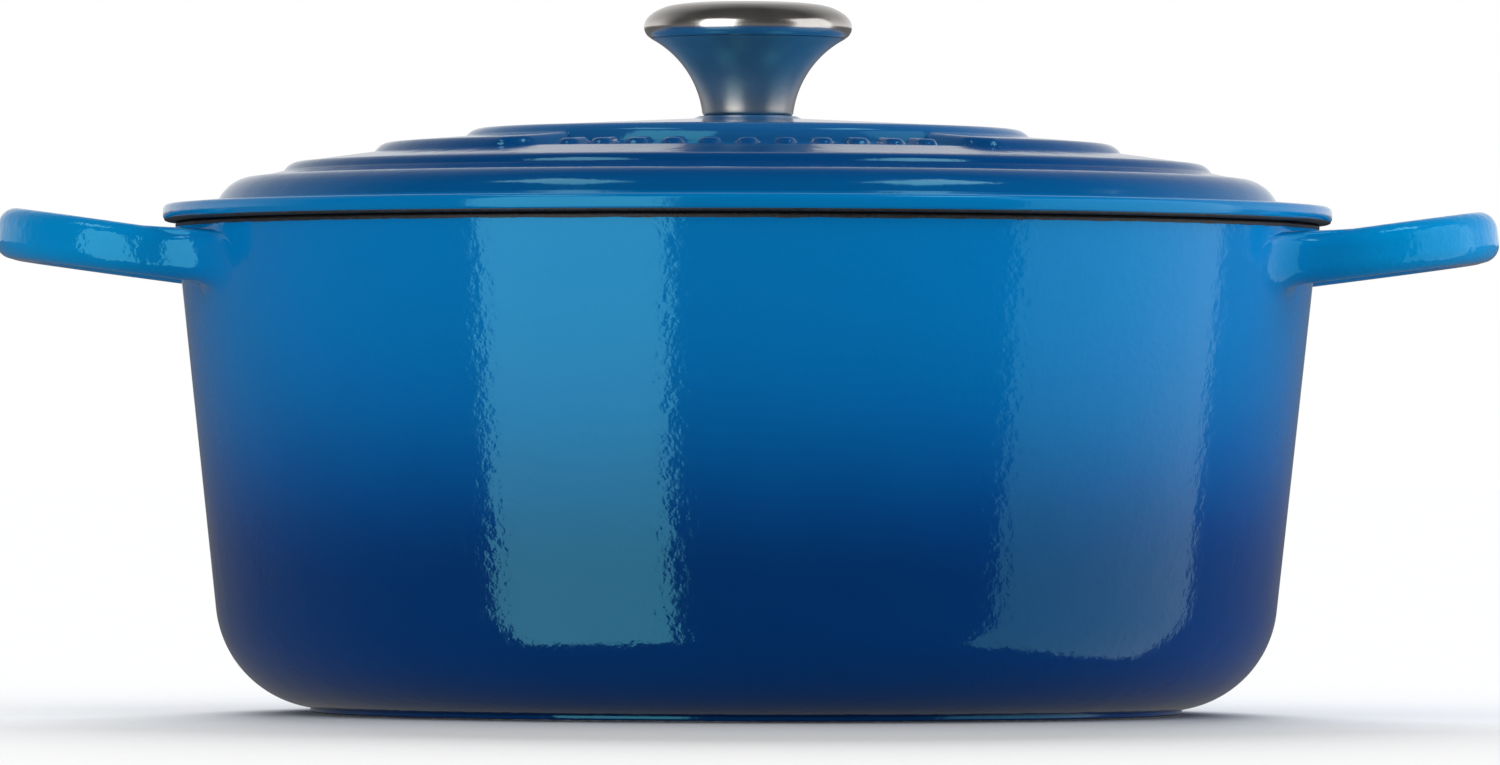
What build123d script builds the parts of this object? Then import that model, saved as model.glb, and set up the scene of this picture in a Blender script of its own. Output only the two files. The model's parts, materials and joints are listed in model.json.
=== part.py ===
from build123d import *

# A round enamelled cast iron dutch oven, 26 cm across its mouth, in millimetres.
#
# The pot stands on the XY plane with its axis on Z and its two loop handles along X. The lid rests on the
# pot's rim, and its knob is held by one screw from below. Both castings carry thin coats of vitreous
# enamel fused to the iron: a coloured one outside, a pale one inside and a dark one on the two rims.
# Most shapes are made by a function of "skin": 0 gives the finished surface, SKIN gives the bare iron
# below the enamel, and the difference between the two is the coat.

import math
import os

SKIN = 0.4                      # thickness of every enamel coat

# Pot, finished surfaces
RIM_RADIUS = 135.2              # outside of the wall, at the rim
RIM_HEIGHT = 115.8
WALL_LEAN = 6.15                # degrees from vertical
WALL = 4.6                      # wall thickness, measured level
BASE_CORNER = 26.2              # outside radius between wall and base
BASE_HEIGHT = 1.3               # underside of the base, above the foot
BASE_DISH = 0.9                 # the base's outer part rises by this much towards its corner
FLOOR_HEIGHT = 6.2              # inside floor
CAVITY_CORNER = 22.0
RIM_BEVEL = 0.6                 # around the outside of the rim
RIM_BAND = 1.2                  # how far the dark coat of the rim comes down the wall
FOOT_RADIUS = 100.0             # middle of the foot ring
FOOT_WIDTH = 6.0
FOOT_EDGE = 0.5
FOOT_BARE = 0.3                 # the lowest part of the foot is bare iron

# Handles
BAR_REACH = 177.0               # outermost point of a handle, from the axis
BAR_THICK = 10.0
BAR_TALL = 11.4
BAR_ROUND = 4.2
LEG_OFFSET = 46.5               # centre of a leg, from the XZ plane
TURN_RADIUS = 31.0              # centre line, between leg and bar
HANDLE_RISE = 7.4               # degrees, outwards and up
ROOT_RADIUS = 134.0             # the handle's own origin, on the XZ plane
ROOT_HEIGHT = 107.5
LEG_SUNK = 26.0                 # how far a leg runs back into the wall
ROOT_FILLET = 1.4

# Lid, finished surfaces
SEAT_GAP = 0.05                 # between the two dark rims
LID_RADIUS = 138.2
LID_BAND = 0.7                  # how far the dark coat comes up the lid's edge
FLANGE_ROUND = 1.4
SEAT_INNER = 125.6              # inner edge of the flat ring that rests on the pot
HOLLOW = ((117.0, 121.2), (106.0, 124.7), (86.0, 128.9), (64.0, 132.4), (36.0, 135.4))  # underside
BOSS_RADIUS = 11.6              # raised pad under the knob
BOSS_HEIGHT = 141.3
PAD_RADIUS = 13.0               # flat underside that the screw's washer bears on
PAD_HEIGHT = 136.6
SCREW_HOLE = 3.4
LUG_COUNT = 3                   # lugs that keep the lid centred in the pot's mouth
LUG_WIDTH = 16.0
LUG_OUTER = 128.6
LUG_INNER = 124.6
LUG_LOW = 113.3

# The top of the lid is a stack of shallow discs. The third one stops short of a panel at the front.
DISC_FEET = ((125.2, 120.9), (109.7, 127.8), (88.3, 132.4), (66.8, 136.1))
DISC_SHOULDERS = ((115.6, 126.5), (105.8, 130.0), (84.2, 134.7), (62.6, 138.1))
PANEL_INNER_Z = 134.0           # the panel's surface where it meets the fourth disc
PANEL_HALF_ARC = 37.5           # degrees, each side of -Y
RING_NOSE = 8.0                 # plan radius at the third disc's two ends
RING_SLOPE = 40.0               # degrees from vertical, down to the panel
SEED_COUNT = 11                 # raised seeds in a row on the panel
SEED_PITCH = 6.2                # degrees
SEED_CIRCLE = 78.0
SEED_LONG = 8.8
SEED_WIDE = 5.0
SEED_PROUD = 1.15

# Knob, screw and washer
KNOB_SHEET = 1.5
FLARE_RADIUS = 23.0
FLARE_CENTRE = (33.6, 139.2)
FLARE_TOP = 159.8
CAP_RADIUS = 24.65
KNOB_TOP = 168.3
CAP_SHEET = 1.6
BUSH_RADIUS = 6.0
BUSH_TOP = 155.0
THREAD_RADIUS = 3.0
THREAD_TOP = 153.0
SHANK_TOP = 151.0
WASHER_RADIUS = 8.0
WASHER_THICK = 1.2
HEAD_RADIUS = 6.0
HEAD_TALL = 3.4
SLOT_LONG = 8.5
SLOT_WIDE = 1.6
SLOT_DEEP = 1.7

LEAN = math.tan(math.radians(WALL_LEAN))
LEVEL_SKIN = 1 / math.cos(math.radians(WALL_LEAN))   # a skin on the wall, measured level
SEAT_HEIGHT = RIM_HEIGHT + SEAT_GAP
FAR = 400.0


def wall_radius(height):
    """Outside radius of the pot's wall at a height."""
    return RIM_RADIUS - (RIM_HEIGHT - height) * LEAN


def corner_at(outline, point):
    """The outline's corner nearest to a point."""
    return outline.vertices().sort_by_distance(Vector(*point))[0]


def turned(section):
    """A section drawn as radius and height, turned about the axis."""
    return revolve(Plane.XZ * section, Axis.Z)


def band(low, high):
    """Everything between two heights."""
    return Pos(0, 0, (low + high) / 2) * Box(FAR, FAR, high - low)


def disc(radius, low, high):
    return Pos(0, 0, (low + high) / 2) * Cylinder(radius, high - low)


# Pot ----------------------------------------------------------------------------------------------------

def body_outline(skin):
    """Half of the pot's outside in section, without its foot ring and filled in."""
    foot_out = FOOT_RADIUS + FOOT_WIDTH / 2
    base = BASE_HEIGHT + skin
    base_edge = BASE_HEIGHT + BASE_DISH + 2.0 + skin
    corner = (wall_radius(base_edge) - skin * LEVEL_SKIN, base_edge)
    rim = (RIM_RADIUS - skin * LEVEL_SKIN, RIM_HEIGHT - skin)
    body = Polygon((0, base), (foot_out, base), corner, rim, (0, RIM_HEIGHT - skin), align=None)
    body = fillet(corner_at(body, corner), BASE_CORNER - skin)
    return chamfer(corner_at(body, rim), RIM_BEVEL - 0.6 * skin)


def foot_ring(skin):
    """The ring that the pot stands on."""
    ring = Pos(FOOT_RADIUS, 2.0) * Rectangle(FOOT_WIDTH - 2 * skin, 4.0)
    return turned(fillet(ring.vertices().group_by(Axis.Y)[0], FOOT_EDGE))


def cavity_outline(skin):
    """Half of the room inside the pot in section, larger by a skin."""
    floor = FLOOR_HEIGHT - skin
    above = RIM_HEIGHT + 10
    inward = WALL - skin * LEVEL_SKIN
    corner = (wall_radius(floor) - inward, floor)
    room = Polygon((0, floor), corner, (wall_radius(above) - inward, above), (0, above), align=None)
    return fillet(corner_at(room, corner), CAVITY_CORNER + skin)


def pot_cavity(skin):
    return turned(cavity_outline(skin))


def handle(skin):
    """One loop handle towards +X, its legs run back into the wall, slimmer by a skin."""
    bar = BAR_REACH - BAR_THICK / 2 - ROOT_RADIUS
    side = LEG_OFFSET - TURN_RADIUS
    leg = Line((-LEG_SUNK, -LEG_OFFSET), (bar - TURN_RADIUS, -LEG_OFFSET))
    turn = RadiusArc((bar - TURN_RADIUS, -LEG_OFFSET), (bar, -side), -TURN_RADIUS)
    other_turn = RadiusArc((bar, side), (bar - TURN_RADIUS, LEG_OFFSET), -TURN_RADIUS)
    other_leg = Line((bar - TURN_RADIUS, LEG_OFFSET), (-LEG_SUNK, LEG_OFFSET))
    path = leg + turn + Line((bar, -side), (bar, side)) + other_turn + other_leg
    profile = RectangleRounded(BAR_THICK - 2 * skin, BAR_TALL - 2 * skin, BAR_ROUND - skin)
    start = Plane(origin=(-LEG_SUNK, -LEG_OFFSET, 0), x_dir=(0, 1, 0), z_dir=(1, 0, 0))
    loop = sweep(start * profile, path=path)
    return Pos(ROOT_RADIUS, 0, ROOT_HEIGHT) * Rot(0, -HANDLE_RISE, 0) * loop


def on_wall(edge):
    """Whether an edge of the pot's outside is where a handle's leg enters the wall."""
    middle = edge @ 0.5
    near_wall = abs(math.hypot(middle.X, middle.Y) - wall_radius(middle.Z)) < 1.0
    return near_wall and abs(middle.Y) > 30 and middle.Z < RIM_HEIGHT - 2


def pot_outside(skin):
    """The outside of the pot with its handles, filled in."""
    bar = handle(skin)
    whole = turned(body_outline(skin)) + bar + Rot(0, 0, 180) * bar
    return fillet(whole.edges().filter_by(on_wall), ROOT_FILLET + skin)


def pot_solid(skin):
    """The pot with its foot ring, handles and cavity."""
    return pot_outside(skin) + foot_ring(skin) - pot_cavity(skin)


def pot_coats():
    """Every coat of the pot in one, to be shared out between its four enamels."""
    return (pot_solid(0) - pot_solid(SKIN)) & band(FOOT_BARE, FAR / 2)


def pot_casting():
    """The iron: the wall, the floor, both handles and the foot ring, whose lowest part is bare."""
    return pot_solid(SKIN) + (foot_ring(0) & band(0, FOOT_BARE))


def rim_zone():
    return disc(RIM_RADIUS + 0.6, RIM_HEIGHT - RIM_BAND, RIM_HEIGHT)


def pot_exterior_enamel(coats):
    """The coloured coat that shows, from the foot ring to the rim's dark coat, and over the handles."""
    return coats - pot_cavity(SKIN + 0.05) - rim_zone() - disc(FOOT_RADIUS, 0, FLOOR_HEIGHT / 2)


def pot_base_enamel(coats):
    """The coloured coat under the base, inside the foot ring."""
    return coats & disc(FOOT_RADIUS, 0, FLOOR_HEIGHT / 2)


def pot_interior_enamel(coats):
    """The pale coat inside, up to the rim's dark coat."""
    return (coats & pot_cavity(SKIN + 0.05)) - rim_zone()


def pot_rim_enamel():
    """The dark coat over the rim that the lid rests on."""
    wall = body_outline(0) - cavity_outline(0)
    iron = body_outline(SKIN) - cavity_outline(SKIN)
    zone = Pos(RIM_RADIUS, RIM_HEIGHT - RIM_BAND / 2) * Rectangle(4 * WALL, RIM_BAND)
    return turned((wall - iron) & zone)


# Lid ----------------------------------------------------------------------------------------------------

def lid_top_outline(skin, panelled):
    """The lid's top from the flange's edge to the axis, with the panel or with the third disc."""
    feet = [(radius - skin, height - skin) for radius, height in DISC_FEET]
    shoulders = [(radius - skin, height - skin) for radius, height in DISC_SHOULDERS]
    edge = LID_RADIUS - skin
    ledge = SEAT_HEIGHT + 4.1 - skin
    bend = FLANGE_ROUND * (1 - math.sqrt(0.5))
    flange = ThreePointArc(
        (edge, ledge - FLANGE_ROUND), (edge - bend, ledge - bend), (edge - FLANGE_ROUND, ledge))
    boss_foot = (BOSS_RADIUS - skin, BOSS_HEIGHT - 0.6 - skin)
    boss = (BOSS_RADIUS - skin, BOSS_HEIGHT - skin)
    panel_inner = (feet[3][0], PANEL_INNER_Z - skin)
    curve = Line((edge, SEAT_HEIGHT), (edge, ledge - FLANGE_ROUND)) + flange
    curve += Line((edge - FLANGE_ROUND, ledge), feet[0])
    following = feet[1:] + [boss_foot]
    levels = [0, 1, 2, 3]
    if panelled:
        levels = [0, 1, 3]
        following[1] = panel_inner
        curve += Line(panel_inner, feet[3])
    for level in levels:
        foot, shoulder = feet[level], shoulders[level]
        lift = 0.24 * (shoulder[1] - foot[1])
        middle = (foot[0] * 0.62 + shoulder[0] * 0.38, (foot[1] + shoulder[1]) / 2 + lift)
        curve += ThreePointArc(foot, middle, shoulder)
        curve += Line(shoulder, following[level])
    curve += Line(boss_foot, boss)
    curve += Line(boss, (0, BOSS_HEIGHT - skin))
    curve += Line((0, BOSS_HEIGHT - skin), (0, SEAT_HEIGHT))
    curve += Line((0, SEAT_HEIGHT), (edge, SEAT_HEIGHT))
    return make_face(curve)


def third_disc(skin):
    """The room of the third disc: a ring with two rounded ends beside the panel, tapering up."""
    half = math.radians(PANEL_HALF_ARC)
    reach = 2 * SEED_CIRCLE
    spread = reach * math.tan(half)
    tip = skin / math.sin(half)
    wedge = Polygon((0, tip), (-spread, tip - reach), (spread, tip - reach), align=None)
    outer = DISC_FEET[2][0] - skin
    inner = DISC_FEET[3][0] - 2 * RING_NOSE
    ring = Circle(outer) - Circle(inner) - wedge
    ends = [corner for corner in ring.vertices() if corner.Y < 0 and Vector(*corner).length > outer - 1]
    ring = fillet(ends, RING_NOSE - skin)
    return extrude(Pos(0, 0, DISC_FEET[2][1] - skin) * ring, amount=5, taper=RING_SLOPE)


def seed(skin, index):
    """One raised seed on the panel, a capsule sunk in it and pointing to the axis."""
    angle = -90 + (index - (SEED_COUNT - 1) / 2) * SEED_PITCH
    radius = (SEED_WIDE ** 2 / 4 + SEED_PROUD ** 2) / (2 * SEED_PROUD) - skin
    half = (SEED_LONG - SEED_WIDE) / 2
    share = (DISC_FEET[2][0] - SEED_CIRCLE) / (DISC_FEET[2][0] - DISC_FEET[3][0])
    surface = DISC_FEET[2][1] + share * (PANEL_INNER_Z - DISC_FEET[2][1])
    curve = Line((-half - radius, 0), (half + radius, 0))
    curve += RadiusArc((half + radius, 0), (half, radius), -radius)
    curve += Line((half, radius), (-half, radius))
    curve += RadiusArc((-half, radius), (-half - radius, 0), -radius)
    capsule = revolve(make_face(curve), Axis.X)
    return Rot(0, 0, angle) * Pos(SEED_CIRCLE, 0, surface + SEED_PROUD - skin - radius) * capsule


def lid_top(skin):
    """The lid filled in from its seat up, with the third disc broken by the panel and the seeds on it."""
    stacked = turned(lid_top_outline(skin, False))
    panelled = turned(lid_top_outline(skin, True))
    return panelled + (stacked & third_disc(skin)) + [seed(skin, index) for index in range(SEED_COUNT)]


def lid_hollow(skin):
    """The room under the lid, larger by a skin."""
    below = SEAT_HEIGHT - 5
    under = [(SEAT_INNER, SEAT_HEIGHT), *HOLLOW, (PAD_RADIUS, PAD_HEIGHT)]
    curve = Line((0, below), (SEAT_INNER, below))
    curve += Line((SEAT_INNER, below), (SEAT_INNER, SEAT_HEIGHT + skin))
    curve += Spline(*[(radius, height + skin) for radius, height in under])
    curve += Line((PAD_RADIUS, PAD_HEIGHT + skin), (0, PAD_HEIGHT + skin))
    curve += Line((0, PAD_HEIGHT + skin), (0, below))
    return turned(make_face(curve))


def lug(skin, index):
    """One lug under the lid, just inside the pot's wall."""
    long = LUG_OUTER - LUG_INNER - 2 * skin
    tall = SEAT_HEIGHT + 2.5 - LUG_LOW
    body = Box(long, LUG_WIDTH - 2 * skin, tall)
    body = fillet(body.edges().filter_by(Axis.Z), 1.4)
    place = Pos((LUG_OUTER + LUG_INNER) / 2, 0, LUG_LOW + skin + tall / 2)
    return Rot(0, 0, 90 + index * 360 / LUG_COUNT) * place * body


def lugs(skin):
    return [lug(skin, index) for index in range(LUG_COUNT)]


def lid_body(skin):
    """The lid with its hollow and its lugs."""
    return lid_top(skin) - lid_hollow(skin) - band(0, SEAT_HEIGHT + skin) + lugs(skin)


def lid_casting():
    return lid_body(SKIN) - disc(SCREW_HOLE, 0, FAR)


def lid_coats():
    """Every coat of the lid in one, to be shared out between its three enamels."""
    return lid_body(0) - lid_body(SKIN) - disc(SCREW_HOLE, 0, FAR)


def lid_exterior_enamel(coats):
    """The coloured coat over the lid's top, down to its edge."""
    outside = coats - lid_hollow(SKIN + 0.05)
    return outside & band(SEAT_HEIGHT + LID_BAND, FAR / 2)


def lid_interior_enamel(coats):
    """The pale coat under the lid."""
    return coats & lid_hollow(SKIN + 0.05) & band(SEAT_HEIGHT + LID_BAND, FAR / 2)


def lid_rim_enamel(coats):
    """The dark coat over the lid's seat, its edge and its lugs."""
    return coats & band(0, SEAT_HEIGHT + LID_BAND)


# Knob ---------------------------------------------------------------------------------------------------

def flare_outline(sheet):
    """The knob's flared foot, filled in, inside a sheet of metal."""
    x, z = FLARE_CENTRE
    radius = FLARE_RADIUS + sheet
    low = BOSS_HEIGHT + sheet
    high = FLARE_TOP
    at_low = (x - math.sqrt(radius ** 2 - (low - z) ** 2), low)
    at_high = (x - math.sqrt(radius ** 2 - (high - z) ** 2), high)
    between = (low + high) / 2
    at_middle = (x - math.sqrt(radius ** 2 - (between - z) ** 2), between)
    curve = Line((0, low), at_low)
    curve += ThreePointArc(at_low, at_middle, at_high)
    curve += Line(at_high, (0, high))
    curve += Line((0, high), (0, low))
    return make_face(curve)


def knob_flare():
    """The knob's flared foot, spun from sheet, open at the top."""
    return turned(flare_outline(0)) - turned(flare_outline(KNOB_SHEET)) - disc(BUSH_RADIUS, 0, FAR / 2)


def knob_cap():
    """The knob's domed cap, which closes the flare."""
    low = FLARE_TOP
    inside_top = KNOB_TOP - CAP_SHEET
    lower_edge = ((23.1, low), (24.2, 160.8), (CAP_RADIUS, 162.5))
    dome = ((23.9, 164.4), (21.8, 166.1), (18.6, 167.4), (13.0, 168.1), (5.0, KNOB_TOP))
    curve = Line((0, low), (23.1, low))
    curve += Spline(*lower_edge, *dome)
    curve += Line((5.0, KNOB_TOP), (0, KNOB_TOP))
    curve += Line((0, KNOB_TOP), (0, low))
    room = Line((0, low), (22.0, low))
    room += Spline((22.0, low), (22.6, 162.6), (20.6, 165.0), (12.6, 166.5), (4.0, inside_top))
    room += Line((4.0, inside_top), (0, inside_top))
    room += Line((0, inside_top), (0, low))
    return turned(make_face(curve)) - turned(make_face(room))


def knob_bush():
    """The threaded bush in the knob's foot."""
    return disc(BUSH_RADIUS, BOSS_HEIGHT, BUSH_TOP) - disc(THREAD_RADIUS, BOSS_HEIGHT, THREAD_TOP)


def knob_washer():
    """The washer between the screw's head and the lid."""
    return disc(WASHER_RADIUS, PAD_HEIGHT - WASHER_THICK, PAD_HEIGHT) - disc(SCREW_HOLE, 0, FAR / 2)


def knob_screw():
    """The slotted screw that holds the knob from below."""
    top = PAD_HEIGHT - WASHER_THICK
    head = disc(HEAD_RADIUS, top - HEAD_TALL, top)
    head = fillet(head.edges().group_by(Axis.Z)[0], 1.4)
    slot = Pos(0, 0, top - HEAD_TALL + SLOT_DEEP / 2) * Box(SLOT_LONG, SLOT_WIDE, SLOT_DEEP)
    shank = disc(THREAD_RADIUS, top, SHANK_TOP)
    return head - slot + chamfer(shank.edges().group_by(Axis.Z)[-1], 0.6)


def main():
    os.makedirs("parts", exist_ok=True)
    on_pot = pot_coats()
    on_lid = lid_coats()
    pieces = {
        "pot_casting": pot_casting(),
        "pot_exterior_enamel": pot_exterior_enamel(on_pot),
        "pot_base_enamel": pot_base_enamel(on_pot),
        "pot_interior_enamel": pot_interior_enamel(on_pot),
        "pot_rim_enamel": pot_rim_enamel(),
        "lid_casting": lid_casting(),
        "lid_exterior_enamel": lid_exterior_enamel(on_lid),
        "lid_interior_enamel": lid_interior_enamel(on_lid),
        "lid_rim_enamel": lid_rim_enamel(on_lid),
        "knob_flare": knob_flare(),
        "knob_cap": knob_cap(),
        "knob_bush": knob_bush(),
        "knob_washer": knob_washer(),
        "knob_screw": knob_screw(),
    }
    for name, piece in pieces.items():
        print(name, "solids", len(piece.solids()), "volume", round(piece.volume), "valid", piece.is_valid)
        export_step(piece, os.path.join("parts", name + ".step"))


main()
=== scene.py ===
# %% [markdown]
# # An enamelled cast iron dutch oven
#
# The pot and its lid are iron castings with a thin coat of coloured glass fused over them. The shapes come
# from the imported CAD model, which is in metres with the pot's foot on the floor and its axis on Z. This
# lesson gives every surface its finish, and rebuilds in mesh code the pieces whose softness the CAD solids
# leave out: the pot's blue shell with its handles, the lid's enamelled top, the two dark rims and the knob.

# %% Load the CAD model
import json
import math

import bmesh
import bpy
from mathutils import Matrix, Vector, noise

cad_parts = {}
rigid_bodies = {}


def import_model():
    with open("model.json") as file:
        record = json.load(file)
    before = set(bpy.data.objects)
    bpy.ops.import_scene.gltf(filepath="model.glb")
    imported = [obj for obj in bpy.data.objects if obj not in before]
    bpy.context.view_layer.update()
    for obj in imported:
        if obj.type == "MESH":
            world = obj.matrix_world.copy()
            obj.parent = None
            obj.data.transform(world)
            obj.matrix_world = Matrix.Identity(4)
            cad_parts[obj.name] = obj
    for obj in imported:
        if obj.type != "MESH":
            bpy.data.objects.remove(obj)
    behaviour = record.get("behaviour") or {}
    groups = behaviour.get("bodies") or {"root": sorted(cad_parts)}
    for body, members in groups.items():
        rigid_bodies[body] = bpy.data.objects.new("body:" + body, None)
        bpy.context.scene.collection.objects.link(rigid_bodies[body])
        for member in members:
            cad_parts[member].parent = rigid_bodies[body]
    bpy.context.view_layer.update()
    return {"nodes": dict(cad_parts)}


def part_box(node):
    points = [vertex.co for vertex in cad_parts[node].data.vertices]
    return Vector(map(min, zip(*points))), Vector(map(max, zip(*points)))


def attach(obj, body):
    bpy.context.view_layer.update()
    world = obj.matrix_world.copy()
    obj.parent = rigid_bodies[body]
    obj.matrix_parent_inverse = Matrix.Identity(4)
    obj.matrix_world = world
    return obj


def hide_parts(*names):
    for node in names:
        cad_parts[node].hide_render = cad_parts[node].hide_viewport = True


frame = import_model()
nodes = frame["nodes"]
MM = 0.001
print("CAD nodes:", ", ".join(sorted(nodes)))

# %% [markdown]
# ## Sizes
#
# The new pieces have to lie on the CAD solids, so the heights and radii where they meet the others are read
# from the CAD nodes: the pot's rim, the lid's edge, and the knob's foot and top. Sizes that no box can give,
# such as a corner's radius, are named in the cell that uses them, in millimetres.

# %% Read the sizes
RIM_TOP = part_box("pot_rim_enamel")[1][2]
LID_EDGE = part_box("lid_exterior_enamel")[1][0]
KNOB_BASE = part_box("knob_flare")[0][2] / MM
KNOB_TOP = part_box("knob_cap")[1][2] / MM
print(f"rim at {RIM_TOP / MM:.1f} mm, lid radius {LID_EDGE / MM:.1f} mm")
print(f"knob from {KNOB_BASE:.1f} to {KNOB_TOP:.1f} mm")

# %% [markdown]
# ## Node helpers
#
# A material is a small network of nodes. A few helpers keep the wiring readable: they add a node and set its
# inputs by name, start a material with its Principled shader, do sums, and turn a mask into a colour or a
# roughness. Nodes could be wired by hand in the shader editor too, but code can be read and run again.

# %% Helpers for materials
def add(tree, kind, **values):
    """A node of a kind, with its sockets set or linked by name (spaces are written as underscores)."""
    node = tree.nodes.new(kind)
    for name, value in values.items():
        place = name.replace("_", " ")
        if hasattr(node, name) and place not in node.inputs:
            setattr(node, name, value)
        elif isinstance(value, bpy.types.NodeSocket):
            tree.links.new(value, node.inputs[place])
        else:
            node.inputs[place].default_value = value
    return node


def finish_named(name, **values):
    """A new material, its node tree and its Principled shader."""
    material = bpy.data.materials.new(name)
    material.use_nodes = True
    tree = material.node_tree
    shader = tree.nodes["Principled BSDF"]
    for socket, value in values.items():
        shader.inputs[socket.replace("_", " ")].default_value = value
    return material, tree, shader


def math_node(tree, operation, first, second=0.0, third=0.0, clamp=False):
    """The output of one sum, with numbers or sockets as its terms."""
    node = tree.nodes.new("ShaderNodeMath")
    node.operation = operation
    node.use_clamp = clamp
    for socket, value in zip(node.inputs, (first, second, third)):
        if isinstance(value, bpy.types.NodeSocket):
            tree.links.new(value, socket)
        else:
            socket.default_value = value
    return node.outputs[0]


def ramp(tree, factor, stops):
    """A colour ramp through (position, colour) stops."""
    node = tree.nodes.new("ShaderNodeValToRGB")
    node.color_ramp.interpolation = "B_SPLINE" if len(stops) > 3 else "EASE"
    elements = node.color_ramp.elements
    while len(elements) < len(stops):
        elements.new(0.5)
    for element, (position, colour) in zip(elements, stops):
        element.position = position
        element.color = (*colour, 1.0)
    tree.links.new(factor, node.inputs["Fac"])
    return node.outputs["Color"]


def speckle(tree, scale, detail, roughness=0.5):
    """Noise that is fixed to the object, so many times per metre."""
    place = add(tree, "ShaderNodeTexCoord").outputs["Object"]
    node = add(tree, "ShaderNodeTexNoise", Vector=place, Scale=scale, Detail=detail, Roughness=roughness)
    return node.outputs["Fac"]


def colour_from(tree, shader, factor, stops):
    """Colours a shader by a ramp."""
    tree.links.new(ramp(tree, factor, stops), shader.inputs["Base Color"])


def rough_from(tree, shader, mask, gain, low):
    """Roughness that rises from low as the mask does."""
    tree.links.new(math_node(tree, "MULTIPLY_ADD", mask, gain, low), shader.inputs["Roughness"])


print("node helpers:", [helper.__name__ for helper in (add, finish_named, math_node, ramp, speckle)])


# %% [markdown]
# ## The glassy surface of enamel
#
# Enamel is sprayed on as wet powder and melted in a kiln. It flows, but not perfectly, so its surface keeps
# shallow waves a few millimetres long, like the peel of an orange, and here and there a tiny pit. Two sizes
# of noise give that height. It is a group, because all the enamels share it with their own strengths.

# %% Build the enamel surface group
def new_group(name, inputs, outputs):
    """A shader node group with float inputs (name, default) and outputs (name, type)."""
    group = bpy.data.node_groups.new(name, "ShaderNodeTree")
    for label, default in inputs:
        socket = group.interface.new_socket(label, in_out="INPUT", socket_type="NodeSocketFloat")
        socket.default_value = default
    for label, kind in outputs:
        group.interface.new_socket(label, in_out="OUTPUT", socket_type=kind)
    return group, group.nodes.new("NodeGroupInput").outputs, group.nodes.new("NodeGroupOutput").inputs


def build_enamel_surface():
    """The height of the glass, and a mask of where it is a little less glossy."""
    swell_scale, swell_share, pit_scale, pit_size = 90.0, 1.6, 420.0, 0.16
    group, given, result = new_group(
        "enamel_surface",
        [("Wave Length", 2.6), ("Waves", 1.0), ("Pits", 0.4)],
        [("Height", "NodeSocketFloat"), ("Gloss Loss", "NodeSocketFloat")],
    )
    place = add(group, "ShaderNodeTexCoord").outputs["Object"]
    per_metre = math_node(group, "DIVIDE", 1.0 / MM, given["Wave Length"])
    peel = speckle(group, per_metre, 2.0, 0.55)
    swell = speckle(group, swell_scale, 1.0, 0.4)
    pits = add(group, "ShaderNodeTexVoronoi", Vector=place, Scale=pit_scale)
    deep = math_node(group, "SUBTRACT", pit_size, pits.outputs["Distance"], clamp=True)
    waves = math_node(group, "MULTIPLY", peel, given["Waves"])
    rolled = math_node(group, "MULTIPLY_ADD", swell, swell_share, waves)
    pitted = math_node(group, "MULTIPLY", deep, given["Pits"])
    group.links.new(math_node(group, "SUBTRACT", rolled, pitted), result["Height"])
    group.links.new(math_node(group, "MULTIPLY", swell, peel), result["Gloss Loss"])
    return group


enamel_surface = build_enamel_surface()
print("group", enamel_surface.name, [item.name for item in enamel_surface.interface.items_tree])


def use_group(tree, group, **values):
    """A group placed in a material, with its own input values."""
    node = tree.nodes.new("ShaderNodeGroup")
    node.node_tree = group
    for name, value in values.items():
        node.inputs[name.replace("_", " ")].default_value = value
    return node


def bump(tree, shader, height, distance):
    """Tilts a shader's normal by a height, which is worth so many metres."""
    node = add(tree, "ShaderNodeBump", Height=height, Distance=distance)
    tree.links.new(node.outputs["Normal"], shader.inputs["Normal"])


# %% [markdown]
# ## Blue enamel, shaded by height
#
# The pot's colour is sprayed in two passes: a deep blue first, then a bright one from above that thins out
# towards the base. So the colour depends on the height above the foot, with a little noise in the fade, as
# spray is never even: a colour ramp driven by the Z coordinate. The handles catch more of the bright pass,
# so a second mask, driven by the distance from the axis, mixes more of it in. The glass on top is tinted as
# well, so its reflections are tinted a little too.

# %% Make the pot's blue
def height_share(tree, low, high, wobble):
    """0 at one height and 1 at another, with a slightly uneven level."""
    place = add(tree, "ShaderNodeTexCoord").outputs["Object"]
    height = add(tree, "ShaderNodeSeparateXYZ", Vector=place).outputs["Z"]
    uneven = math_node(tree, "MULTIPLY_ADD", speckle(tree, 38.0, 4.0, 0.6), wobble, height)
    level = math_node(tree, "SUBTRACT", uneven, low + wobble / 2)
    return math_node(tree, "DIVIDE", level, high - low, clamp=True)


def axis_distance(tree):
    """The distance of the surface from the oven's upright axis."""
    place = add(tree, "ShaderNodeTexCoord").outputs["Object"]
    flat = add(tree, "ShaderNodeVectorMath", operation="MULTIPLY")
    tree.links.new(place, flat.inputs[0])
    flat.inputs[1].default_value = (1.0, 1.0, 0.0)
    reach = add(tree, "ShaderNodeVectorMath", operation="LENGTH")
    tree.links.new(flat.outputs[0], reach.inputs[0])
    return reach.outputs["Value"]


def mix_colours(tree, share, first, second):
    """From a linked colour to a plain one."""
    node = add(tree, "ShaderNodeMix", data_type="RGBA")
    factor, linked, plain = node.inputs["Factor"], node.inputs[6], node.inputs[7]
    tree.links.new(share, factor)
    tree.links.new(first, linked)
    plain.default_value = (*second, 1.0)
    return node.outputs[2]


GLAZE_TINT = (0.20, 0.92, 1.0, 1.0)
GLASS_IOR = 1.5
FADE_WOBBLE = 0.007
HANDLE_START, HANDLE_FADE = 0.134, 0.022
HANDLE_BLUE, HANDLE_PEEL = (0.0, 0.155, 0.370), 1.1

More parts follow.
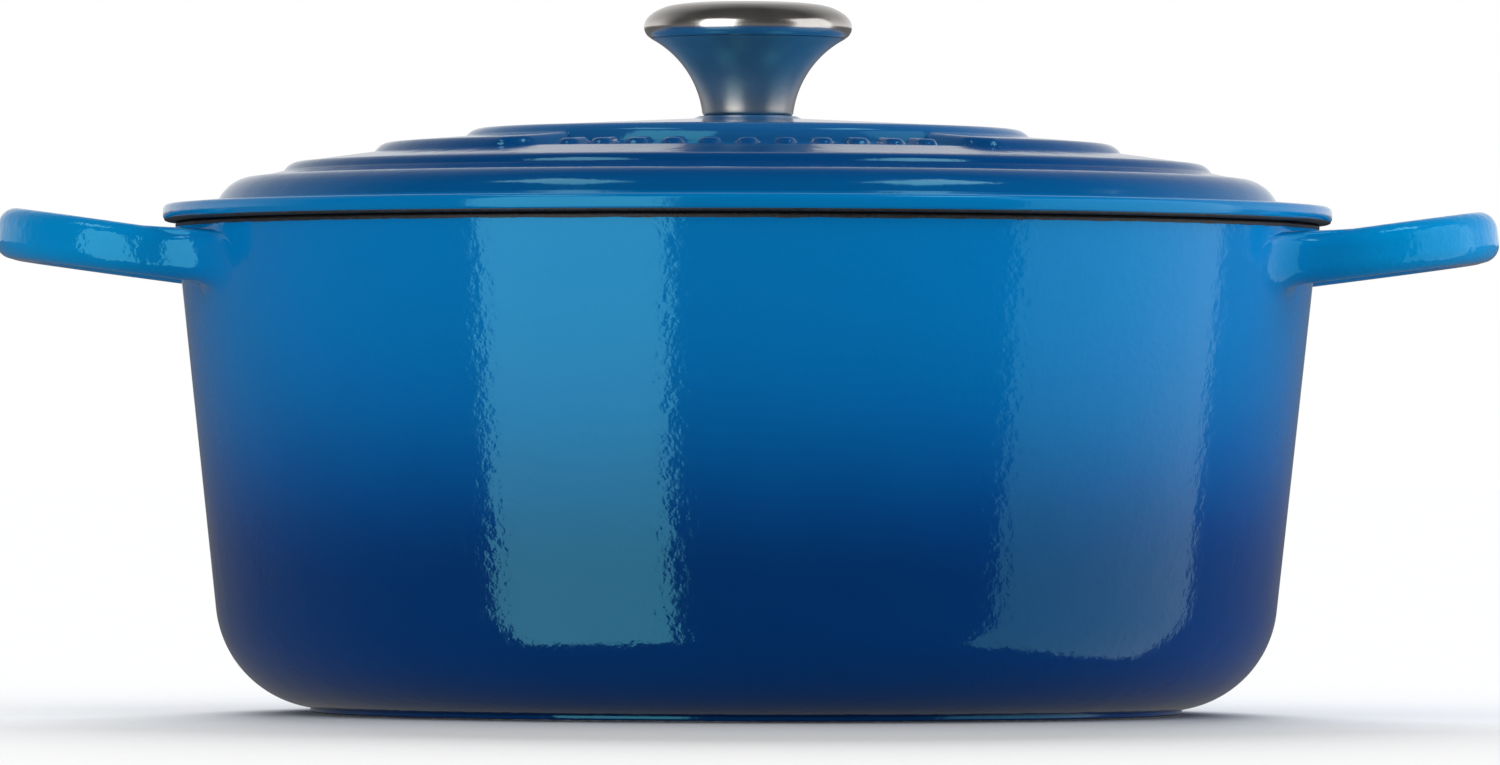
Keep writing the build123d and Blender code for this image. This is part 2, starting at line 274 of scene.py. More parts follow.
pot_blue, tree, shader = finish_named("pot_blue_enamel", IOR=GLASS_IOR, Specular_Tint=GLAZE_TINT)
# Painted light: the two lowest stops are lighter than the band above them. They stand in for light bounced
# up from the floor onto the base's corner. Above that, the ramp is the enamel's own fade.
wall_blue = ramp(tree, height_share(tree, 0.0, RIM_TOP, FADE_WOBBLE), [
    (0.0, (0.0, 0.031, 0.172)),
    (0.10, (0.0, 0.026, 0.140)),
    (0.22, (0.0, 0.0182, 0.096)),
    (0.36, (0.0, 0.0212, 0.115)),
    (0.50, (0.0, 0.053, 0.203)),
    (0.64, (0.0, 0.091, 0.278)),
    (0.80, (0.0, 0.113, 0.320)),
    (1.0, (0.0, 0.122, 0.338)),
])
past_wall = math_node(tree, "SUBTRACT", axis_distance(tree), HANDLE_START)
on_handle = math_node(tree, "DIVIDE", past_wall, HANDLE_FADE, clamp=True)
tree.links.new(mix_colours(tree, on_handle, wall_blue, HANDLE_BLUE), shader.inputs["Base Color"])
skin = use_group(tree, enamel_surface, Wave_Length=2.4, Waves=1.0, Pits=0.5)
stronger = math_node(tree, "MULTIPLY_ADD", on_handle, HANDLE_PEEL, 1.0)
bump(tree, shader, math_node(tree, "MULTIPLY", skin.outputs["Height"], stronger), 0.00009)
rough_from(tree, shader, skin.outputs["Gloss Loss"], 0.14, 0.06)
print("made", pot_blue.name)

# %% [markdown]
# ## Lid blue
#
# The lid's blue is medium in the middle, deep over the sloping discs and bright again at the flange.
# So the driver is the distance from the axis, where the pot's is the height.

# %% Make the lid's blue
lid_blue, tree, shader = finish_named("lid_blue_enamel", IOR=GLASS_IOR, Specular_Tint=GLAZE_TINT)
edge_share = math_node(tree, "DIVIDE", axis_distance(tree), LID_EDGE, clamp=True)
colour_from(tree, shader, edge_share, [
    (0.0, (0.010, 0.085, 0.230)),
    (0.45, (0.008, 0.080, 0.220)),
    (0.62, (0.0, 0.030, 0.118)),
    (0.88, (0.0, 0.030, 0.118)),
    (0.94, (0.0, 0.098, 0.268)),
    (1.0, (0.0, 0.115, 0.300)),
])
skin = use_group(tree, enamel_surface, Wave_Length=2.8, Waves=0.8, Pits=0.4)
bump(tree, shader, skin.outputs["Height"], 0.00005)
rough_from(tree, shader, skin.outputs["Gloss Loss"], 0.12, 0.07)
print("made", lid_blue.name)

# %% [markdown]
# ## Sand enamel
#
# The inside is coated in a pale sand colour, which shows how far the food has browned. It is as glossy as
# the outside, and has faint darker specks where grains of pigment did not melt.

# %% Make the sand enamel
sand, tree, shader = finish_named("sand_enamel", IOR=GLASS_IOR)
colour_from(tree, shader, speckle(tree, 900.0, 3.0, 0.7), [
    (0.30, (0.42, 0.34, 0.22)),
    (0.48, (0.72, 0.63, 0.47)),
    (0.8, (0.78, 0.70, 0.55)),
])
skin = use_group(tree, enamel_surface, Wave_Length=3.2, Waves=0.9, Pits=0.3)
bump(tree, shader, skin.outputs["Height"], 0.00005)
rough_from(tree, shader, skin.outputs["Gloss Loss"], 0.16, 0.08)
print("made", sand.name)

# %% [markdown]
# ## Dark rim enamel
#
# The two rims touch each other and are wiped before firing, so they get a thin coat of tough matt black
# enamel instead of the glossy blue. It is rough to the touch, with a fine grain.

# %% Make the dark enamel
dark, tree, shader = finish_named("dark_rim_enamel", IOR=GLASS_IOR)
grain = speckle(tree, 1400.0, 4.0, 0.65)
colour_from(tree, shader, grain, [(0.3, (0.004, 0.004, 0.005)), (0.7, (0.022, 0.022, 0.025))])
rough_from(tree, shader, grain, 0.3, 0.42)
bump(tree, shader, grain, 0.00012)
print("made", dark.name)

# %% [markdown]
# ## Cast iron
#
# Bare iron shows only on the ring that the pot stands on. It is ground flat after casting, so it is grey
# and grainy, with a few rust-brown spots.

# %% Make the bare iron
iron, tree, shader = finish_named("bare_cast_iron", Metallic=1.0)
grain = speckle(tree, 650.0, 6.0, 0.7)
colour_from(tree, shader, grain, [
    (0.3, (0.09, 0.06, 0.045)),
    (0.45, (0.16, 0.155, 0.15)),
    (0.7, (0.3, 0.3, 0.3)),
])
rough_from(tree, shader, grain, 0.4, 0.3)
bump(tree, shader, grain, 0.0002)
print("made", iron.name)

# %% [markdown]
# ## Turned steel
#
# The knob is polished while it spins, so its faint scratches run round the axis. Noise that is squeezed in
# radius and height, and doesn't change round the circle, leaves such rings. The cap is polished further than
# the flare. The screw and the washer are turned on a lathe and use the same group, only coarser.

# %% Build the turned metal group and the three steels
def build_turned_marks():
    """Fine rings about the axis, and soft clouds for uneven polish."""
    group, given, result = new_group(
        "turned_marks",
        [("Ring Scale", 9000.0), ("Cloud Scale", 120.0)],
        [("Rings", "NodeSocketFloat"), ("Clouds", "NodeSocketFloat")],
    )
    place = add(group, "ShaderNodeTexCoord").outputs["Object"]
    parts = add(group, "ShaderNodeSeparateXYZ", Vector=place)
    across = math_node(group, "POWER", parts.outputs["X"], 2.0)
    along = math_node(group, "POWER", parts.outputs["Y"], 2.0)
    radius = math_node(group, "SQRT", math_node(group, "ADD", across, along))
    ring_place = add(group, "ShaderNodeCombineXYZ", X=radius, Y=parts.outputs["Z"])
    ring_scale = given["Ring Scale"]
    rings = add(group, "ShaderNodeTexNoise", Vector=ring_place.outputs[0], Scale=ring_scale, Detail=3.0)
    group.links.new(rings.outputs["Fac"], result["Rings"])
    group.links.new(speckle(group, given["Cloud Scale"], 3.0), result["Clouds"])
    return group


turned_marks = build_turned_marks()


def turned_steel(name, tone, rough_low, rough_high, ring_scale, depth):
    """Steel of a tone, polished to a roughness, with rings of a scale and a depth."""
    material, tree, shader = finish_named(name, Metallic=1.0)
    marks = use_group(tree, turned_marks, Ring_Scale=ring_scale)
    duller = tuple(0.88 * part for part in tone)
    colour_from(tree, shader, marks.outputs["Clouds"], [(0.3, duller), (0.7, tone)])
    mixed = math_node(tree, "MULTIPLY", marks.outputs["Rings"], marks.outputs["Clouds"])
    rough_from(tree, shader, mixed, 2.0 * (rough_high - rough_low), rough_low)
    bump(tree, shader, marks.outputs["Rings"], depth)
    return material


knob_steel = turned_steel("knob_steel", (0.70, 0.67, 0.64), 0.17, 0.25, 3000.0, 0.000002)
flare_steel = turned_steel("flare_steel", (0.66, 0.60, 0.54), 0.30, 0.36, 3000.0, 0.000002)
screw_steel = turned_steel("screw_steel", (0.52, 0.52, 0.52), 0.25, 0.42, 2500.0, 0.00002)
print("made", knob_steel.name, flare_steel.name, screw_steel.name)

# %% [markdown]
# ## Turning a profile
#
# Most of the oven is round, so most new pieces are a profile of (radius, height) points turned about the
# axis, as a potter or a lathe would make them. Building the mesh row by row gives clean, even quads, which
# glossy finishes need: every facet would show in a reflection.

# %% Helpers for round meshes
def piece_from(name, shape):
    """An object in the scene from a finished bmesh."""
    mesh = bpy.data.meshes.new(name)
    shape.to_mesh(mesh)
    shape.free()
    piece = bpy.data.objects.new(name, mesh)
    bpy.context.scene.collection.objects.link(piece)
    return piece


def mesh_from_rows(name, rows):
    """A smooth quad mesh over rows of points, each closed on itself."""
    shape = bmesh.new()
    grid = [[shape.verts.new(point) for point in row] for row in rows]
    for lower, upper in zip(grid, grid[1:]):
        for column in range(len(lower)):
            beside = (column + 1) % len(lower)
            face = shape.faces.new((lower[column], lower[beside], upper[beside], upper[column]))
            face.smooth = True
    bmesh.ops.remove_doubles(shape, verts=shape.verts, dist=1e-7)
    bmesh.ops.recalc_face_normals(shape, faces=shape.faces)
    piece = piece_from(name, shape)
    piece.data.set_sharp_from_angle(angle=math.radians(50))
    return piece


def turn_profile(name, profile, segments):
    """A profile of (radius, height) points in millimetres, turned about the axis."""
    turns = [step * math.tau / segments for step in range(segments)]
    rows = [
        [(radius * MM * math.cos(turn), radius * MM * math.sin(turn), height * MM) for turn in turns]
        for radius, height in profile
    ]
    return mesh_from_rows(name, rows)


def arc_points(centre, radius, start, end, steps):
    """Points on an arc, with angles in degrees from the +radius direction."""
    turns = (math.radians(start + (end - start) * step / steps) for step in range(steps + 1))
    return [(centre[0] + radius * math.cos(turn), centre[1] + radius * math.sin(turn)) for turn in turns]


def line_points(start, end, steps):
    """Points along a straight line, from the first one after its start to its end."""
    along = [step / steps for step in range(1, steps + 1)]
    return [tuple(a + (b - a) * share for a, b in zip(start, end)) for share in along]


def smooth_line(points, steps):
    """A smooth line through points, with so many steps between neighbours."""
    padded = [points[0], *points, points[-1]]
    line = []
    for before, here, there, after in zip(padded, padded[1:], padded[2:], padded[3:]):
        for step in range(steps):
            t = step / steps
            line.append(tuple(
                b + t / 2 * (c - a + t * (2 * a - 5 * b + 4 * c - d) + t * t * (3 * b - a - 3 * c + d))
                for a, b, c, d in zip(before, here, there, after)
            ))
    return line + [points[-1]]


def settle(piece, body, material, slot, cad_node):
    """Gives a new piece its finish, puts it on its body and lets it stand for a CAD node."""
    piece.data.materials.append(material)
    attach(piece, body)
    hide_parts(cad_node)
    print(piece.name, len(piece.data.polygons), "faces, for", cad_node)


def join_to(piece, parts):
    """Joins parts to a piece, which keeps its name and its finish."""
    with bpy.context.temp_override(active_object=piece, selected_editable_objects=[piece, *parts]):
        bpy.ops.object.join()


print("mesh helpers:", [helper.__name__ for helper in (mesh_from_rows, turn_profile, settle, join_to)])

# %% [markdown]
# ## The pot's coloured shell
#
# The wall leans out by about six degrees, so that the casting leaves its mould, and rolls under into the
# base with a big radius. The whole outside is one profile: foot ring, base, corner and wall.

# %% Turn the pot's outside
WALL_TOP_RADIUS = 135.2
WALL_LEAN = math.radians(6.15)
WALL_TOP = RIM_TOP / MM
BLUE_TOP = WALL_TOP - 0.7
BASE_RISE, BASE_RUN = 2.9, 20.2
BASE_SLOPE = math.atan2(BASE_RISE, BASE_RUN)
CORNER_RADIUS = 26.2
FOOT_RADIUS, FOOT_HALF, FOOT_TALL = 100.0, 3.0, 1.3


def wall_radius(height):
    """The wall's outer radius at a height, in millimetres."""
    return WALL_TOP_RADIUS - (WALL_TOP - height) * math.tan(WALL_LEAN)


def corner_centre():
    """Centre of the arc that touches both the wall and the sloping base."""
    lean, slope = WALL_LEAN, BASE_SLOPE
    wall_side = wall_radius(0.0) - CORNER_RADIUS / math.cos(lean)
    base_side = FOOT_TALL - (FOOT_RADIUS + FOOT_HALF) * math.tan(slope) + CORNER_RADIUS / math.cos(slope)
    height = (base_side + wall_side * math.tan(slope)) / (1 - math.tan(lean) * math.tan(slope))
    return wall_side + height * math.tan(lean), height


def pot_profile():
    """The outside from the foot ring to just under the rim."""
    foot_edge = FOOT_RADIUS + FOOT_HALF
    foot_bend = [(-0.5, 0.3), (-0.1, 0.5), (0.0, 0.8), (0.1, FOOT_TALL)]
    profile = [(foot_edge + out, height) for out, height in foot_bend]
    start, end = math.degrees(BASE_SLOPE) - 90, -math.degrees(WALL_LEAN)
    corner = arc_points(corner_centre(), CORNER_RADIUS, start, end, 28)
    profile += line_points(profile[-1], corner[0], 6)[:-1]
    return profile + corner + line_points(corner[-1], (wall_radius(BLUE_TOP), BLUE_TOP), 30)


pot_shell = turn_profile("pot_blue_shell", pot_profile(), 320)
print("corner arc centre", corner_centre())

# %% [markdown]
# ## The loop handles
#
# Each handle is a rounded bar bent into a loop, and it grows out of the wall: its outer side flows into the
# wall over a long blend, its underside over a short one, and its top stays below the rim. A subdivided cage
# or a sculpt could give such a shape, but its size would then be guesswork. So each handle is a stack of
# rings along the loop. The first rings of a leg lie on the wall itself, spread out by the blend, and a
# Bezier curve leads each of their points from the wall to the bar.

# %% Loft the handles
ROOT = Vector((134.0, 0.0, 107.5))
RISE = math.radians(7.4)
LEG_OFFSET, BAR_LINE, TURN_RADIUS = 46.5, 38.0, 31.0
BAR_HALF_THICK, BAR_HALF_TALL, BAR_ROUND = 5.0, 5.7, 4.2
BLEND_OUT, BLEND_IN, BLEND_TOP, BLEND_UNDER, TOP_REACH = 13.0, 6.0, 1.3, 4.2, 15.0
SKIN_DEPTH, TUCK_DEPTH, TUCK_SPREAD = 0.02, 0.3, 0.08
END_GROWTH = 0.10
RING_POINTS = 56


def bar_section():
    """Points and outward normals of the bar's rounded rectangle: across the loop, and up."""
    points = []
    flat_u, flat_w = BAR_HALF_THICK - BAR_ROUND, BAR_HALF_TALL - BAR_ROUND
    per_corner = RING_POINTS // 4
    for corner, (side_u, side_w) in enumerate(((1, 1), (-1, 1), (-1, -1), (1, -1))):
        for step in range(per_corner):
            turn = math.radians(90 * corner + 90 * (step + 0.5) / per_corner)
            normal = (math.cos(turn), math.sin(turn))
            point = (side_u * flat_u + BAR_ROUND * normal[0], side_w * flat_w + BAR_ROUND * normal[1])
            points.append((point, normal))
    return points


def handle_to_pot(point, side):
    """From a handle's own frame to the pot's, in millimetres. The side is 1 for +X and -1 for -X."""
    x, y, z = point
    out = x * math.cos(RISE) - z * math.sin(RISE)
    up = x * math.sin(RISE) + z * math.cos(RISE)
    return Vector((side * (ROOT.x + out), side * y, ROOT.z + up))


def wall_meeting(across, up):
    """How far along a leg a line of the bar meets the wall."""
    low, high = -30.0, 12.0
    for _ in range(40):
        middle = (low + high) / 2
        place = handle_to_pot((middle, across, up), 1)
        if math.hypot(place.x, place.y) < wall_radius(place.z):
            low = middle
        else:
            high = middle
    return low


def grown(up, share):
    """A point's height on the bar, whose top swells a little towards its outer end."""
    return up * (1.0 + END_GROWTH * share) if up > 0 else up


def wall_point(turn, height, depth):
    """A point a little below the surface of the wall."""
    radius = wall_radius(height) - depth
    return Vector((radius * math.cos(turn), radius * math.sin(turn), height))


def leg_rings(side, hand):
    """Rings from the wall to the start of the turn, for the leg at -Y (hand -1) or at +Y (hand 1)."""
    blend_steps, leg_steps = 12, 5
    rings = [[] for _ in range(blend_steps + leg_steps + 2)]
    bend_start = BAR_LINE - TURN_RADIUS
    for (u, w), (normal_u, normal_w) in bar_section():
        across = hand * (LEG_OFFSET + u)
        meeting = wall_meeting(across, w)
        on_wall = handle_to_pot((meeting, across, w), side)
        spread = normal_u * (BLEND_OUT if normal_u > 0 else BLEND_IN)
        lift = normal_w * (BLEND_TOP if normal_w > 0 else BLEND_UNDER)
        level = max(normal_w, 0.0) ** 2
        reach = max(math.hypot(spread, lift), TOP_REACH * level)
        azimuth = math.atan2(on_wall.y, on_wall.x)
        height = on_wall.z + lift
        turn = hand * spread / (wall_radius(height) - SKIN_DEPTH)
        ends = wall_point(azimuth + turn, height, SKIN_DEPTH)
        tucked_in = wall_point(azimuth + (1 + TUCK_SPREAD) * turn, height + TUCK_SPREAD * lift, TUCK_DEPTH)
        rings[0].append(tucked_in)
        on_bar = handle_to_pot((meeting + reach, across, w), side)
        guide = on_wall.lerp((ends + on_bar) / 2, 0.8 * level)
        for step in range(blend_steps + 1):
            t = step / blend_steps
            rings[1 + step].append((1 - t) ** 2 * ends + 2 * t * (1 - t) * guide + t * t * on_bar)
        for step in range(1, leg_steps + 1):
            along = meeting + reach + (bend_start - meeting - reach) * step / leg_steps
            rings[1 + blend_steps + step].append(handle_to_pot((along, across, w), side))
    return rings


def turn_rings(side, hand):
    """Rings round the quarter turn between a leg and the outer bar."""
    steps = 16
    rings = []
    for step in range(1, steps + 1):
        share = step / steps
        turn = math.radians(90 * share)
        ring = []
        for (u, w), _ in bar_section():
            x = BAR_LINE - TURN_RADIUS + (TURN_RADIUS + u) * math.sin(turn)
            y = LEG_OFFSET - TURN_RADIUS + (TURN_RADIUS + u) * math.cos(turn)
            ring.append(handle_to_pot((x, hand * y, grown(w, share)), side))
        rings.append(ring)
    return rings


def bar_rings(side):
    """Rings along the straight outer bar, from -Y to +Y."""
    steps = 10
    half = LEG_OFFSET - TURN_RADIUS
    places = [half * (2 * step / steps - 1) for step in range(1, steps)]
    return [
        [handle_to_pot((BAR_LINE + u, y, grown(w, 1.0)), side) for (u, w), _ in bar_section()]
        for y in places
    ]


def loft_handle(side):
    """One handle, from its leg at -Y round to its leg at +Y."""
    first = leg_rings(side, -1) + turn_rings(side, -1)
    last = leg_rings(side, 1) + turn_rings(side, 1)
    rings = first + bar_rings(side) + last[::-1]
    return mesh_from_rows("handle_shell", [[point * MM for point in ring] for ring in rings])


join_to(pot_shell, [loft_handle(1), loft_handle(-1)])
settle(pot_shell, "pot", pot_blue, "blue_enamel", "pot_exterior_enamel")

# %% [markdown]
# ## The lid's top
#
# The lid is a stack of shallow discs with pillowed edges, which steers steam and stiffens the casting. The
# third disc stops short of a panel at the front, where a row of raised seeds fills the space. Enamel
# softens every inner corner. That is a height map in radius and angle: each disc gives a height, and a
# smooth maximum joins them with a small fillet, just as the glaze does.

# %% Shape the lid's height map
LID_RADIUS = LID_EDGE / MM
LEDGE_TOP = 119.95
NOSE_RADIUS = 1.4
FEET = [(125.2, 120.9), (109.7, 127.8), (88.3, 132.4), (66.8, 136.1)]
SHOULDERS = [(115.6, 126.5), (105.8, 130.0), (84.2, 134.7), (62.6, 138.1)]
BOSS_RADIUS, BOSS_TOP, BOSS_SLOPE = 11.6, 141.3, 0.6
INNER_ENDS = [*FEET[1:], (BOSS_RADIUS, 140.7)]
DISC_FILLETS, BOSS_FILLET = {0: 0.8, 1: 0.5, 3: 0.6}, 0.5
PANEL_EDGES = (FEET[2], (FEET[3][0], 134.0))
PANEL_HALF = math.radians(37.5)
RING_NOSE, RING_SOFTNESS = 8.0, 2.6
SEED_COUNT, SEED_PITCH = 11, math.radians(6.2)
SEED_CIRCLE, SEED_STRAIGHT, SEED_HALF_WIDTH, SEED_PROUD = 78.0, 1.9, 2.5, 1.15
BELOW = -1e3


def soft_max(first, second, softness):
    """The larger of two heights, with a fillet where they cross."""
    nearness = max(softness - abs(first - second), 0.0) / softness
    return max(first, second) + nearness * nearness * softness / 4


def pillow(share):
    """A quarter of a circle, from 0 to 1."""
    share = min(max(share, 0.0), 1.0)
    return math.sqrt(1 - (1 - share) ** 2)


def slope_line(start, end, radius):
    """The height at a radius on the line through two points."""
    share = (start[0] - radius) / (start[0] - end[0])
    return start[1] + (end[1] - start[1]) * share


def arc_through(first, middle, last):
    """Centre and radius of the arc through three points."""
    (x1, z1), (x2, z2), (x3, z3) = first, middle, last
    twice = 2 * (x1 * (z2 - z3) + x2 * (z3 - z1) + x3 * (z1 - z2))
    s1, s2, s3 = x1 * x1 + z1 * z1, x2 * x2 + z2 * z2, x3 * x3 + z3 * z3
    centre = ((s1 * (z2 - z3) + s2 * (z3 - z1) + s3 * (z1 - z2)) / twice,
              (s1 * (x3 - x2) + s2 * (x1 - x3) + s3 * (x2 - x1)) / twice)
    return centre, math.dist(centre, first)


def edge_arc(foot, shoulder):
    """The rounded edge of a disc, from its foot to its shoulder."""
    lift = 0.24 * (shoulder[1] - foot[1])
    middle = (foot[0] * 0.62 + shoulder[0] * 0.38, (foot[1] + shoulder[1]) / 2 + lift)
    return arc_through(foot, middle, shoulder)


EDGES = [edge_arc(foot, shoulder) for foot, shoulder in zip(FEET, SHOULDERS)]


def disc_height(level, radius):
    """The height of one disc: its rounded edge and its gently rising top."""
    if radius > FEET[level][0]:
        return BELOW
    radius = max(radius, INNER_ENDS[level][0])
    if radius < SHOULDERS[level][0]:
        return slope_line(SHOULDERS[level], INNER_ENDS[level], radius)
    (across, up), reach = EDGES[level]
    return up + math.sqrt(max(reach ** 2 - (radius - across) ** 2, 0.0))


def ring_depth(radius, from_front):
    """How far inside the third disc's end a point lies, in millimetres."""
    along = (from_front - PANEL_HALF) * radius
    corner_along = max(RING_NOSE - along, 0.0)
    corner_across = max(radius - (FEET[2][0] - RING_NOSE), 0.0)
    if corner_along > 0 and corner_across > 0:
        return RING_NOSE - math.hypot(corner_along, corner_across)
    return along


def third_disc_height(radius, angle):
    """The third disc where it stands, and the panel with its seeds in front."""
    panel = slope_line(*PANEL_EDGES, radius)
    share = pillow(ring_depth(radius, abs(angle)) / RING_SOFTNESS)
    full = slope_line(SHOULDERS[2], INNER_ENDS[2], radius)
    raised = min(disc_height(2, radius), panel + (full - panel) * share)
    return max(panel, raised) + seeds_height(radius, angle)


def seeds_height(radius, angle):
    """Extra height of the row of seeds on the panel."""
    index = round(angle / SEED_PITCH)
    if abs(index) > SEED_COUNT // 2:
        return 0.0
    across = (angle - index * SEED_PITCH) * SEED_CIRCLE
    along = max(abs(radius - SEED_CIRCLE) - SEED_STRAIGHT, 0.0)
    inside = math.hypot(across, along) / SEED_HALF_WIDTH
    return SEED_PROUD * math.sqrt(1 - inside ** 4) if inside < 1 else 0.0


def lid_height(radius, angle):
    """Height of the lid's top at a radius and an angle from the front, in millimetres."""
    height = slope_line((LID_RADIUS - NOSE_RADIUS, LEDGE_TOP), FEET[0], radius)
    height = soft_max(height, disc_height(0, radius), DISC_FILLETS[0])
    height = soft_max(height, disc_height(1, radius), DISC_FILLETS[1])
    if radius < FEET[2][0]:
        height = max(height, third_disc_height(radius, angle))
    height = soft_max(height, disc_height(3, radius), DISC_FILLETS[3])
    boss = BOSS_TOP - max(radius - BOSS_RADIUS, 0.0) * BOSS_SLOPE
    return soft_max(height, boss, BOSS_FILLET)


print("lid heights", [round(lid_height(radius, math.pi), 2) for radius in (130, 118, 100, 80, 50, 12)])

# %% Build the lid's top
INNERMOST = 8.0
EDGE_STEP, PANEL_STEP, NEAR_STEP, OPEN_STEP = 0.35, 0.6, 1.0, 2.2
EDGE_MIDDLE, EDGE_ZONE, NEAR_ZONE = 1.2, 2.2, 5.0
PANEL_INNER = 70.0
BUSY_HALF, BUSY_TURN, CALM_TURN = math.radians(46), math.radians(0.4), math.radians(1.5)


def radial_stations():
    """Radii across the lid, closer together where the height changes quickly."""
    busy = [foot for foot, _ in FEET] + [BOSS_RADIUS]
    radii = []
    radius = LID_RADIUS - NOSE_RADIUS
    while radius > INNERMOST:
        radii.append(radius)
        near = min(abs(radius - foot + EDGE_MIDDLE) for foot in busy)
        if near < EDGE_ZONE:
            radius -= EDGE_STEP
        elif PANEL_INNER < radius < FEET[2][0]:
            radius -= PANEL_STEP
        else:
            radius -= NEAR_STEP if near < NEAR_ZONE else OPEN_STEP
    return radii


def angular_stations():
    """Angles from the front, closer together over the panel."""
    angles = []
    angle = -math.pi
    while angle < math.pi - 1e-6:
        angles.append(angle)
        angle += BUSY_TURN if abs(angle) < BUSY_HALF else CALM_TURN
    return angles


def lid_rows():
    """Rows of points from the lower edge of the flange to the boss under the knob."""
    angles = angular_stations()
    edge = [(LID_RADIUS - 0.35, 116.5), (LID_RADIUS - 0.1, 116.75), (LID_RADIUS, 117.1), (LID_RADIUS, 117.9)]
    nose_top = lid_height(LID_RADIUS - NOSE_RADIUS, math.pi)
    edge += arc_points((LID_RADIUS - NOSE_RADIUS, nose_top - NOSE_RADIUS), NOSE_RADIUS, 0, 90, 7)[:-1]
    rows = [[(radius, height) for _ in angles] for radius, height in edge]
    rows += [[(radius, lid_height(radius, angle)) for angle in angles] for radius in radial_stations()]
    return [
        [
            (radius * MM * math.sin(angle), -radius * MM * math.cos(angle), height * MM)
            for (radius, height), angle in zip(row, angles)
        ]
        for row in rows
    ]


lid_shell = mesh_from_rows("lid_blue_shell", lid_rows())
settle(lid_shell, "lid", lid_blue, "blue_enamel", "lid_exterior_enamel")

# %% [markdown]
# ## The two dark rims
#
# The black enamel is brushed on by hand, so the line where it meets the blue is never quite straight, and
# its surface is lumpy. Each rim is a short profile turned about the axis whose outer edge wanders with
# noise.

# %% Turn the rims
RIM_SEGMENTS = 720
POT_SEAT, LID_SEAT = 115.8, 115.86


def brushed_rim(name, profile, loose_rows, wander):
    """A turned profile whose first loose_rows rows wander in height and whose surface is lumpy."""
    rows = []
    for index, (radius, height) in enumerate(profile):
        row = []
        for step in range(RIM_SEGMENTS):
            turn = step * math.tau / RIM_SEGMENTS
            around = Vector((math.cos(turn), math.sin(turn), 0.0))
            ripple = noise.noise(around * 22.0) + 0.7 * noise.noise(around * 71.0 + Vector((5, 3, index)))
            lump = 0.05 * noise.noise(around * 160.0 + Vector((0, 0, 0.9 * index)))
            shift = wander * ripple * max(0.0, 1.0 - index / loose_rows)
            row.append((around * (radius + lump) + Vector((0.0, 0.0, height + shift))) * MM)
        rows.append(row)
    return mesh_from_rows(name, rows)


pot_rim = brushed_rim("pot_dark_rim", [
    (wall_radius(114.5) + 0.03, 114.5), (wall_radius(114.8) + 0.12, 114.8),
    (wall_radius(115.1) + 0.12, 115.1), (wall_radius(115.3), 115.35), (134.7, 115.65), (134.2, 115.78),
    (132.8, POT_SEAT), (131.2, POT_SEAT), (130.75, 115.7), (130.55, 115.3), (130.46, 114.6),
], 3, 0.16)
settle(pot_rim, "pot", dark, "dark_enamel", "pot_rim_enamel")

lid_rim = brushed_rim("lid_dark_rim", [
    (LID_RADIUS - 0.28, 116.75), (LID_RADIUS - 0.3, 116.4), (LID_RADIUS - 0.45, 116.1),
    (LID_RADIUS - 0.9, 115.9), (LID_RADIUS - 1.6, LID_SEAT), (134.0, LID_SEAT), (130.0, LID_SEAT),
    (126.2, LID_SEAT), (125.8, 116.0), (125.6, 116.6),
], 2, 0.10)
settle(lid_rim, "lid", dark, "dark_enamel", "lid_rim_enamel")

# %% [markdown]
# ## The lid's lugs
#
# Three lugs under the lid keep it centred in the pot's mouth. They are dipped in the same dark enamel, so
# they belong to the lid's dark rim. Each is a small block whose edges are rounded by a bevel, as enamel
# never leaves a sharp edge.

# %% Add the lugs to the lid's rim
LUG_COUNT, LUG_ROUND = 3, 1.2
LUG_MIDDLE = Vector((126.6, 0.0, 115.8))
LUG_SIZE = Vector((4.0, 16.0, 5.0))


def lug_mesh(turn):
    """One lug at an angle about the axis, as a mesh object."""
    shape = bmesh.new()
    bmesh.ops.create_cube(shape, size=1.0)
    spin = Matrix.Rotation(turn, 3, "Z")
    for vert in shape.verts:
        vert.co = spin @ (LUG_MIDDLE + vert.co * LUG_SIZE) * MM
    edges = shape.edges[:]
    bmesh.ops.bevel(shape, geom=edges, offset=LUG_ROUND * MM, segments=4, profile=0.5, affect="EDGES")
    for face in shape.faces:
        face.smooth = True
    lug = piece_from("lid_lug", shape)
    lug.data.materials.append(dark)
    return lug


join_to(lid_rim, [lug_mesh(math.radians(90.0 + 360.0 * index / LUG_COUNT)) for index in range(LUG_COUNT)])
print(lid_rim.name, "with", LUG_COUNT, "lugs:", len(lid_rim.data.polygons), "faces")

# %% [markdown]
# ## The knob
#
# The knob is spun from sheet steel in two parts: a flared foot and a domed cap that is pressed over it, so a
# fine seam runs round under the cap. A steel knob stands an oven's heat. The foot's side is one arc. The cap
# has no single radius, so a smooth line through a few points gives its dome.

# %% Turn the knob
KNOB_SEGMENTS = 192
FLARE_CENTRE, FLARE_RADIUS, FLARE_TOP = (33.6, 139.2), 23.0, 159.55


def flare_turn(height):
    """The angle on the flare's arc at a height, in degrees."""
    return 180 - math.degrees(math.asin((height - FLARE_CENTRE[1]) / FLARE_RADIUS))


foot_curl = [(9.4, 0.0), (10.1, 0.02), (10.45, 0.2), (10.68, 0.5)]
flare_profile = [(radius, KNOB_BASE + lift) for radius, lift in foot_curl]
start, end = flare_turn(KNOB_BASE + 0.8), flare_turn(FLARE_TOP)
flare_profile += arc_points(FLARE_CENTRE, FLARE_RADIUS, start, end, 36)
flare_profile += [(23.0, FLARE_TOP + 0.12), (22.6, FLARE_TOP + 0.25)]
flare = turn_profile("knob_flared_foot", flare_profile, KNOB_SEGMENTS)
settle(flare, "lid", flare_steel, "knob_steel", "knob_flare")

